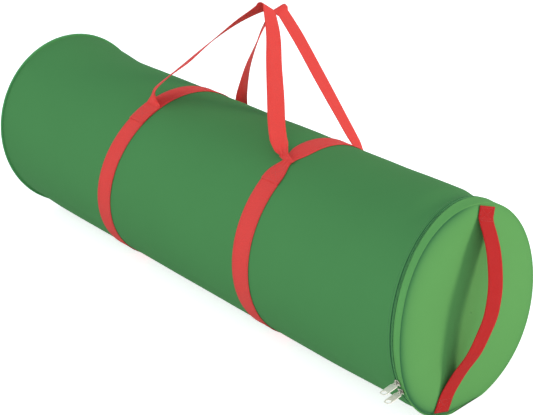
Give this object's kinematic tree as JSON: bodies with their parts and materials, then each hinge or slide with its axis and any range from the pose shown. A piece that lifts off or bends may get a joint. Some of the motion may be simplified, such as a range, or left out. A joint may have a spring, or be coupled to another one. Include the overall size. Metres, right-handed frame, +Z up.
{
  "type": "gift wrap storage bag",
  "caption": "Soft round bag for rolls of gift wrap: long fabric tube with a round zipped lid, webbing bands, carry handles and a grab strap.",
  "frame": {"origin": "on the floor, under the middle of the tube's length", "axes": "+X along the tube from the closed far end to the lid, +Y to the back, +Z up"},
  "size_m": [1.0927, 0.3733, 0.5315],
  "materials": {
    "body_cloth": "plain woven polyester, mid green, matt with a faint sheen",
    "lid_cloth": "plain woven polyester, mid green, matt with a faint sheen",
    "trim_cloth": "woven binding, green",
    "zip_tape": "woven zip tape, dark green",
    "zip_teeth": "nylon coil, green",
    "webbing": "flat woven webbing, red",
    "metal": "nickel plated zinc, bright"
  },
  "bodies": {
    "bag": {"body_tube": "body_cloth", "body_seam_binding": "trim_cloth", "mouth_facing": "trim_cloth", "zip_tape_body": "zip_tape", "zip_chain_body": "zip_teeth", "zip_stop_body_low": "metal", "zip_stop_body_high": "metal", "lid_hinge_strip": "lid_cloth", "far_end_panel": "body_cloth", "far_piping": "trim_cloth", "far_seam_binding": "trim_cloth", "band_left": "webbing", "band_right": "webbing", "handle_lap_front_left": "webbing", "handle_lap_front_right": "webbing", "handle_lap_rear_left": "webbing", "handle_lap_rear_right": "webbing"},
    "lid": {"lid_band": "lid_cloth", "lid_panel": "lid_cloth", "lid_seam_binding": "trim_cloth", "lid_handle": "webbing", "zip_tape_lid": "zip_tape", "zip_chain_lid": "zip_teeth", "zip_stop_lid_low": "metal", "zip_stop_lid_high": "metal"},
    "slider_upper": {"zip_slider_upper": "metal"},
    "slider_lower": {"zip_slider_lower": "metal"},
    "pull_upper": {"zip_pull_upper": "metal"},
    "pull_lower": {"zip_pull_lower": "metal"},
    "carry_handle_front": {"handle_front": "webbing"},
    "carry_handle_rear": {"handle_rear": "webbing"}
  },
  "joints": [
    {"name": "lid_hinge", "type": "hinge", "parent": "bag", "child": "lid", "pos_m": [0.47441, 0.15899, 0.2186], "axis": [-0.1002, -0.3175, 0.9429], "range_deg": [0, 100]},
    {"name": "zip_upper", "type": "hinge", "parent": "bag", "child": "slider_upper", "pos_m": [0.4933, 0, 0.16707], "axis": [-0.9886, -0.0752, -0.1304], "range_deg": [0, 166]},
    {"name": "zip_lower", "type": "hinge", "parent": "bag", "child": "slider_lower", "pos_m": [0.4933, 0, 0.16707], "axis": [0.9886, 0.0752, 0.1304], "range_deg": [0, 156]},
    {"name": "pull_upper_swing", "type": "hinge", "parent": "slider_upper", "child": "pull_upper", "pos_m": [0.51292, -0.15959, 0.11036], "axis": [0.9886, 0.0752, 0.1304], "range_deg": [-65, 15]},
    {"name": "pull_lower_swing", "type": "hinge", "parent": "slider_lower", "child": "pull_lower", "pos_m": [0.51474, -0.15153, 0.0919], "axis": [-0.9886, -0.0752, -0.1304], "range_deg": [-60, 15]},
    {"name": "front_handle_fold", "type": "hinge", "parent": "bag", "child": "carry_handle_front", "pos_m": [0.01082, -0.06038, 0.32548], "axis": [1, 0, 0], "range_deg": [0, 80]},
    {"name": "rear_handle_fold", "type": "hinge", "parent": "bag", "child": "carry_handle_rear", "pos_m": [0.00825, 0.1575, 0.23412], "axis": [-1, 0, 0], "range_deg": [0, 130]}
  ]
}
